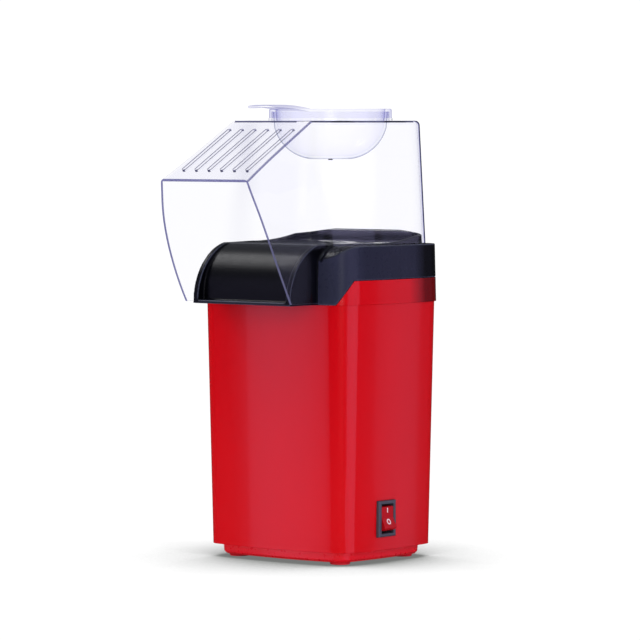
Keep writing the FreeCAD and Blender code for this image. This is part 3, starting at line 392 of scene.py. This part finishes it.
# ---------------------------------------------------------------- materials
slot_side = slot_wall("slot_side")
red = plastic("red_gloss", (0.70, 0.0006, 0.005), rough=0.22, coat=0.1, specular=0.2, spread=0.03)
# the housing's red made lighter: painted light that offsets the shade under the housing
skirt_red_lightened = plastic("red_skirt", (0.90, 0.004, 0.016), rough=0.28, specular=0.35, spread=0.03, edge=0.0)
# painted highlight along the outward edges of the collar's blacks
EDGE_SHEEN = (0.07, 0.075, 0.11)
BLACK = {"spread": 0.2, "peel": 0.000004, "edge": 0.0}
BLACK_EDGE_HIGHLIGHT = {**BLACK, "edge_highlight": EDGE_SHEEN}
black = plastic("black_gloss", (0.0010, 0.0011, 0.0024), rough=0.30, specular=0.075, **BLACK_EDGE_HIGHLIGHT)
cheek_black = plastic("black_cheek", (0.0012, 0.0013, 0.0026), rough=0.30, specular=0.03, **BLACK)
# the collar's side black: its colour carries a painted bluish sheen, with painted shade on faces that look
# up and painted shade deepening towards the back
block_black_sheen = plastic("black_side", (0.0400, 0.0420, 0.0740), rough=0.28, specular=0.10,
                      upward_shade=(0.0030, 0.0032, 0.0060), **BLACK_EDGE_HIGHLIGHT,
                      painted_shade_along_y=[(-0.055, 0.95), (-0.040, 0.80), (-0.028, 0.50), (0.016, 0.52),
                                  (0.026, 0.04), (0.060, 0.04)])
# same red as the housing, with painted shade deepening towards the back
band_red_shaded = plastic("red_band", (0.70, 0.0006, 0.005), rough=0.22, coat=0.1, specular=0.15, spread=0.03,
                   painted_shade_along_y=[(-0.055, 1.0), (0.010, 0.95), (0.026, 0.22), (0.060, 0.18)])
rim_black = plastic("black_rim", (0.0020, 0.0022, 0.0046), rough=0.16, specular=0.5, **BLACK)
switch_black = plastic("switch_satin", (0.060, 0.064, 0.080), rough=0.42, grain=0.00001)
rocker_red = plastic("rocker_gloss", (0.46, 0.002, 0.006), rough=0.2, specular=0.10, edge=0.0003)
mark_paint = plastic("mark_paint", (0.92, 0.80, 0.81), rough=0.5, edge=0.0)
tray_plastic = plastic("tray_plastic", (0.045, 0.045, 0.05), rough=0.5, grain=0.00002)
nylon = plastic("nylon", (0.72, 0.69, 0.62), rough=0.45, spread=0.08)
gland_black = plastic("gland_black", (0.02, 0.02, 0.022), rough=0.55, grain=0.00002)
sleeve_white = plastic("lead_sleeve", (0.72, 0.70, 0.64), rough=0.6, grain=0.00003, spread=0.12)
foot_rubber = mineral("foot_rubber", (0.80, 0.008, 0.022), 0.6, 500, spread=0.1)
gasket = mineral("gasket_silicone", (0.76, 0.74, 0.70), 0.7, 400, spread=0.1)
mica = mineral("mica_sheet", (0.60, 0.50, 0.36), 0.5, 220, speck=(0.80, 0.72, 0.55))
ferrite = mineral("ferrite", (0.09, 0.09, 0.10), 0.55, 700)
carbon = mineral("carbon", (0.03, 0.03, 0.03), 0.6, 900)
board = mineral("board", (0.03, 0.20, 0.07), 0.35, 350, speck=(0.06, 0.33, 0.12))
zinc = metal("zinc_screw", (0.58, 0.58, 0.57), 0.32)
steel = metal("rolled_steel", (0.60, 0.61, 0.62), 0.28, (30, 30, 1))
aluminium = metal("spun_aluminium", (0.80, 0.80, 0.81), 0.26, (1, 1, 26))
brass = metal("brass", (0.72, 0.52, 0.22), 0.3)
copper = metal("copper", (0.80, 0.40, 0.24), 0.28, (1, 1, 40), 160)
heater_wire = metal("heater_wire", (0.42, 0.37, 0.33), 0.5)
hood_clear = clear("hood_clear", [(0.0, (0.998, 0.998, 1.0)), (0.45, (0.975, 0.975, 0.99)),
                                  (0.80, (0.955, 0.955, 0.985)), (0.93, (0.84, 0.84, 0.92)),
                                  (0.98, (0.30, 0.30, 0.46)), (1.0, (0.06, 0.06, 0.14))])
hood_edge = clear("hood_edge", [(0.0, (0.16, 0.16, 0.30)), (0.6, (0.10, 0.10, 0.22)),
                                (1.0, (0.04, 0.04, 0.12))], shine=0.3, frost=0.28)
hood_fold = fold_line("hood_fold", (0.26, 0.26, 0.42), PANEL_NORMAL)
hood_corner = clear("hood_corner", [(0.0, (0.998, 0.998, 1.0)), (0.4, (0.985, 0.985, 0.996)),
                                    (0.58, (0.93, 0.93, 0.975)), (0.66, (0.62, 0.62, 0.78)),
                                    (0.74, (0.16, 0.16, 0.32)), (1.0, (0.05, 0.05, 0.14))])
hood_rim = fold_line("hood_rim", (0.07, 0.07, 0.17), Vector((0, 0, 1)), (0.55, 0.66, 0.88, 0.95))
slot_low_end = clear("slot_low_end", [(0.0, (0.10, 0.10, 0.18)), (1.0, (0.05, 0.05, 0.10))], shine=0.1)
slot_high_end = clear("slot_high_end", [(0.0, (0.45, 0.45, 0.58)), (1.0, (0.3, 0.3, 0.42))], shine=0.1)
cup_clear = clear("cup_clear", [(0.0, (0.998, 0.998, 1.0)), (0.6, (0.985, 0.985, 0.996)),
                                (0.80, (0.93, 0.935, 0.965)), (0.90, (0.66, 0.68, 0.78)),
                                (1.0, (0.34, 0.36, 0.50))], shine=0.08)
cup_inside = clear("cup_inside", [(0.0, (0.998, 0.998, 1.0)), (1.0, (0.955, 0.955, 0.985))], shine=0.05)
cup_mark = clear("cup_mark", [(0.0, (0.10, 0.10, 0.18)), (1.0, (0.05, 0.05, 0.12))], shine=0.05)
cup_skirt = clear("cup_skirt", [(0.0, (0.975, 0.975, 0.995)), (0.5, (0.95, 0.95, 0.985)),
                                (0.8, (0.84, 0.84, 0.94)), (1.0, (0.45, 0.45, 0.68))], shine=0.12)


FINISHES = {
    "outer_housing": red, "base_plate": skirt_red_lightened, "base_feet": foot_rubber, "base_screws": zinc,
    "top_collar": black, "collar_trim_band": band_red_shaded, "collar_screws": zinc, "clear_hood": hood_clear,
    "measuring_cup": cup_clear, "switch_body": switch_black, "rocker_button": rocker_red,
    "rocker_marks": mark_paint, "switch_terminals": brass, "fan_tray": tray_plastic,
    "fan_tray_screws": zinc, "fan_impeller": nylon, "motor_shaft": steel, "shaft_clip": steel,
    "motor_can": steel, "motor_end_cap": nylon, "motor_bearings": brass, "motor_magnets": ferrite,
    "motor_armature": copper, "motor_commutator": copper, "motor_brushes": carbon, "motor_screws": zinc,
    "duct_sleeve": steel, "popping_chamber": aluminium, "chamber_gasket": gasket,
    "heater_coil": heater_wire, "heater_frame": mica, "mica_liner": mica, "heater_terminals": steel,
    "thermostat_bracket": steel, "thermostat": aluminium, "thermal_fuse": zinc,
    "rectifier_board": board, "rectifier_diodes": carbon, "board_capacitor": copper,
    "cord_gland": gland_black, "lead_supply_to_switch": sleeve_white, "lead_switch_to_heater": sleeve_white,
}
SHARP_ANGLE = math.radians(24)


def dress_nodes():
    """Gives each CAD node its finish, shaded smooth apart from its sharp edges."""
    for node_name, finish in FINISHES.items():
        mesh = nodes[node_name].data
        mesh.materials.clear()
        mesh.materials.append(finish)
        mesh.polygons.foreach_set("use_smooth", [True] * len(mesh.polygons))
        mesh.set_sharp_from_angle(angle=SHARP_ANGLE)


# ---------------------------------------------------------------- copies that stand for CAD nodes
def copy_of(node, name, finish, body):
    """A free copy of a CAD node's mesh, which then stands for the node."""
    piece = bpy.data.objects.new(name, nodes[node].data.copy())
    bpy.context.scene.collection.objects.link(piece)
    piece.data.materials.clear()
    piece.data.materials.append(finish)
    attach(piece, body)
    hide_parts(node)
    return piece


def apply_modifiers(piece):
    """Swaps the piece's mesh for the one its modifiers make."""
    graph = bpy.context.evaluated_depsgraph_get()
    mesh = bpy.data.meshes.new_from_object(piece.evaluated_get(graph), depsgraph=graph)
    piece.modifiers.clear()
    old = piece.data
    piece.data = mesh
    bpy.data.meshes.remove(old)


def softened(node, name, finish, body, pitch, passes):
    """The node's shape with its hard edges and inner corners melted round, as a moulding has them."""
    piece = copy_of(node, name, finish, body)
    remesh = piece.modifiers.new("remesh", "REMESH")
    remesh.mode = "VOXEL"
    remesh.voxel_size = pitch
    remesh.use_smooth_shade = True
    smooth = piece.modifiers.new("smooth", "SMOOTH")
    smooth.factor = 0.5
    smooth.iterations = passes
    apply_modifiers(piece)
    piece.data.polygons.foreach_set("use_smooth", [True] * len(piece.data.polygons))
    return piece


def paint_faces(piece, finishes, rule):
    """Adds more finishes to a piece; rule(centre, normal) says which of them each face takes."""
    for finish in finishes:
        piece.data.materials.append(finish)
    for face in piece.data.polygons:
        face.material_index = rule(face.center, face.normal)


# ---------------------------------------------------------------- collar, in millimetres
COLLAR_PITCH = 0.0005       # voxel size of the softened collar, in metres
COLLAR_PASSES = 10
CHEEK_X = 37.2              # the chute's cheeks lie between these two distances from the middle
CHEEK_INNER_X = 34.0
BLOCK_FRONT_Y = -36.0       # the collar's block starts behind the chute here
BOWL_HALF_WIDTH = 47.0
BOWL_BACK_Y = 45.0
RIM_FOOT = 184.3
RIM_TOP = 192.6
RIM_CROWN = 257.0           # radius of the rim's crown from side to side
CORNER_ROLL = 17.0          # radius of the roll over the left front corner
CORNER_ROLL_CENTRE = 51.5
CORNER_ROLL_Z = 167.0
CORNER_WAY = Vector((-0.775, -0.632))       # plan direction from the middle to the rolled corner
GLOSS, BLOCK, BOWL, CHEEK = range(4)


def collar_height(point):
    """Height the collar's moulding may reach: its left front corner rolls down and the rim is crowned."""
    x, y, z = point
    limit = z
    if z > RIM_FOOT:
        limit = RIM_TOP - x * x / (2 * RIM_CROWN)
    out = CORNER_WAY.dot(Vector((x, y))) - CORNER_ROLL_CENTRE
    if x < -CHEEK_X and out > 0:
        limit = min(limit, CORNER_ROLL_Z + math.sqrt(max(0.0, CORNER_ROLL ** 2 - out ** 2)))
    return min(z, limit)


def collar_material(centre, normal):
    """Which of the collar's blacks a face takes: its bowl and rim, its block, its cheeks or its ramp."""
    x, y, z = centre / MM
    in_bowl = abs(x) < BOWL_HALF_WIDTH and BLOCK_FRONT_Y < y < BOWL_BACK_Y
    if z > RIM_FOOT or in_bowl:
        return BOWL
    if abs(x) > CHEEK_X or y > BLOCK_FRONT_Y:
        return BLOCK
    if abs(x) > CHEEK_INNER_X and abs(normal.x) > 0.75:
        return CHEEK
    return GLOSS


def make_collar():
    """Collar with melted edges, its height trimmed and its blacks laid out."""
    collar = softened("top_collar", "collar_moulding", black, "root",
                      COLLAR_PITCH, COLLAR_PASSES)
    for vertex in collar.data.vertices:
        vertex.co.z = collar_height(vertex.co / MM) * MM
    paint_faces(collar, (block_black_sheen, rim_black, cheek_black), collar_material)


# ---------------------------------------------------------------- hood, in millimetres
CUP_CENTRE_Y = 9.0
CUP_HOLE_REACH = 37.5
SLOT_FRONT_Y = -101.0       # the vent slots lie between these, above SLOT_LOW_Z
SLOT_BACK_Y = -48.0
SLOT_LOW_Z = 222.0
SLOT_REACH = 27.0
MOUTH_EDGE_Y = -68.0
FOOT_HIGH_Z = 200.0         # downward faces below this belong to the hood's foot
CHUTE_FOOT_Z = 160.0
TOP_ROUND_Z = 252.0
TOP_ROUND_FRONT_Y = -44.0
PANEL_FOLD_LOW_Z = 215.0
PANEL_FOLD_HIGH_Z = 255.5
CORNER_X = 26.0             # the upright back corners lie outside this and behind CORNER_Y
CORNER_Y = 28.0
CORNER_TOP_X = 28.0
CORNER_TOP_Y = 29.0
NEARLY_SQUARE = 0.985       # a face whose normal is nearer to a direction than this counts as flat to it
WALL, EDGE, FOLD, RIM, CORNER, SLOT_SIDE, SLOT_LOW_END, SLOT_HIGH_END = range(8)


def on_top_round(x, y, z, normal):
    """Whether a face is on the round that runs along the hood's top edge."""
    if z <= TOP_ROUND_Z or y <= TOP_ROUND_FRONT_Y or not 0.15 < normal.z < NEARLY_SQUARE:
        return False
    near_corner = y > CORNER_TOP_Y and abs(x) > CORNER_TOP_X and normal.z < 0.8
    return math.hypot(x, y - CUP_CENTRE_Y) > CUP_HOLE_REACH and not near_corner


def hood_material(centre, normal):
    """Which of the hood's finishes a face takes, from where it lies and which way it looks."""
    x, y, z = centre / MM
    square_to_panel = abs(normal.dot(PANEL_NORMAL))
    by_slots = SLOT_FRONT_Y < y < SLOT_BACK_Y and z > SLOT_LOW_Z and abs(x) < SLOT_REACH
    if by_slots and square_to_panel < 0.3:
        if abs(normal.x) > 0.7:
            return SLOT_SIDE
        return SLOT_LOW_END if normal.y > 0 else SLOT_HIGH_END
    if normal.y < -0.6 and y < MOUTH_EDGE_Y and square_to_panel < 0.85:
        return EDGE
    if normal.z < -0.9 and z < FOOT_HIGH_Z:
        return EDGE if z < CHUTE_FOOT_Z else WALL
    if on_top_round(x, y, z, normal):
        return RIM
    beside_panel = x > 0 and PANEL_FOLD_LOW_Z < z < PANEL_FOLD_HIGH_Z and y < TOP_ROUND_FRONT_Y
    if beside_panel and square_to_panel < NEARLY_SQUARE and normal.z > 0.1:
        return FOLD
    outward = normal.x * x > 0 and normal.y > 0
    if y > CORNER_Y and abs(x) > CORNER_X and abs(normal.z) < 0.8 and outward:
        return CORNER
    return WALL


def make_hood():
    hood = copy_of("clear_hood", "hood_shell", hood_clear, "hood")
    finishes = (hood_edge, hood_fold, hood_rim, hood_corner, slot_side, slot_low_end, slot_high_end)
    paint_faces(hood, finishes, hood_material)


# ---------------------------------------------------------------- measuring cup, in millimetres
CUP_SKIRT_LOW = 256.5
NUB_REACH = 1.4
OUTSIDE, SKIRT, INSIDE, NUB = range(4)


def cup_material(centre, normal):
    """Which of the cup's finishes a face takes: its skirt, the nub under it, its inside or its outside."""
    x, y, z = centre / MM
    y -= CUP_CENTRE_Y
    if z > CUP_SKIRT_LOW:
        return SKIRT
    if math.hypot(x, y) < NUB_REACH:
        return NUB
    if x * normal.x + y * normal.y < 0 or normal.z > 0.9:
        return INSIDE
    return OUTSIDE


def make_cup():
    cup = copy_of("measuring_cup", "cup_moulding", cup_clear, "cup")
    paint_faces(cup, (cup_skirt, cup_inside, cup_mark), cup_material)


# ---------------------------------------------------------------- lights, floor and sizes
LAVENDER = (0.66, 0.62, 1.0)
SKY = (0.90, 0.94, 1.0)


def make_lights():
    """Six softboxes: name, azimuth, height, distance, width, height of the box, watts and colour."""
    softbox("key", -34, 2, 1.5, 0.62, 1.6, 6.0, colour=LAVENDER)
    softbox("left", -77, 51, 1.8, 0.9, 0.42, 12)
    softbox("side", 92, 2, 1.6, 1.5, 1.4, 12, colour=LAVENDER)
    softbox("right", 141, 6, 1.5, 0.50, 1.2, 1.5, colour=LAVENDER)
    softbox("front", 42, 14, 2.0, 0.7, 0.9, 9)
    softbox("top", 10, 76, 1.5, 0.9, 0.45, 5, colour=SKY)


FLOOR_RADIUS = 0.6
FLOOR_DROP = 0.0001         # keeps the floor clear of the feet
SHADOW_REACH = 0.16
SHADOW_STOPS = [(0.35, (0.17, 0.175, 0.17)), (0.54, (0.36, 0.37, 0.36)), (0.66, (0.62, 0.62, 0.62)),
                (0.84, (1.0, 1.0, 1.0))]


def make_floor():
    """Pale round floor; the camera sees it white, with a soft shadow where the maker shelters it."""
    steps = 64
    turns = [2 * math.pi * k / steps for k in range(steps)]
    mesh = bpy.data.meshes.new("floor")
    mesh.from_pydata([(FLOOR_RADIUS * math.cos(t), FLOOR_RADIUS * math.sin(t), 0) for t in turns],
                     [], [list(range(steps))])
    floor = bpy.data.objects.new("floor", mesh)
    bpy.context.scene.collection.objects.link(floor)
    m = Maker("floor_white")
    m.link(m.ramp(m.noise(8, 3), [(0.3, (0.93, 0.93, 0.93)), (0.7, (0.95, 0.95, 0.95))]),
           m.bsdf.inputs["Base Color"])
    m.bsdf.inputs["Roughness"].default_value = 0.9
    m.bsdf.inputs["Specular IOR Level"].default_value = 0.1
    shelter = m.add("ShaderNodeAmbientOcclusion", samples=8)
    shelter.inputs["Distance"].default_value = SHADOW_REACH
    shade = m.add("ShaderNodeEmission")
    m.link(m.ramp(shelter.outputs["AO"], SHADOW_STOPS), shade.inputs["Color"])
    shade.inputs["Strength"].default_value = BACKDROP
    path = m.add("ShaderNodeLightPath")
    mix = m.add("ShaderNodeMixShader")
    m.link(path.outputs["Is Camera Ray"], mix.inputs["Fac"])
    m.link(m.bsdf.outputs["BSDF"], mix.inputs[1])
    m.link(shade.outputs["Emission"], mix.inputs[2])
    m.link(mix.outputs["Shader"], m.out.inputs["Surface"])
    mesh.materials.append(m.material)
    floor.location.z = -FLOOR_DROP
    floor.visible_glossy = False


dress_nodes()
make_collar()
make_hood()
make_cup()
make_camera()
make_world()
make_lights()
make_floor()
bpy.context.scene.view_settings.view_transform = "Standard"
bpy.context.scene.cycles.transparent_max_bounces = 32
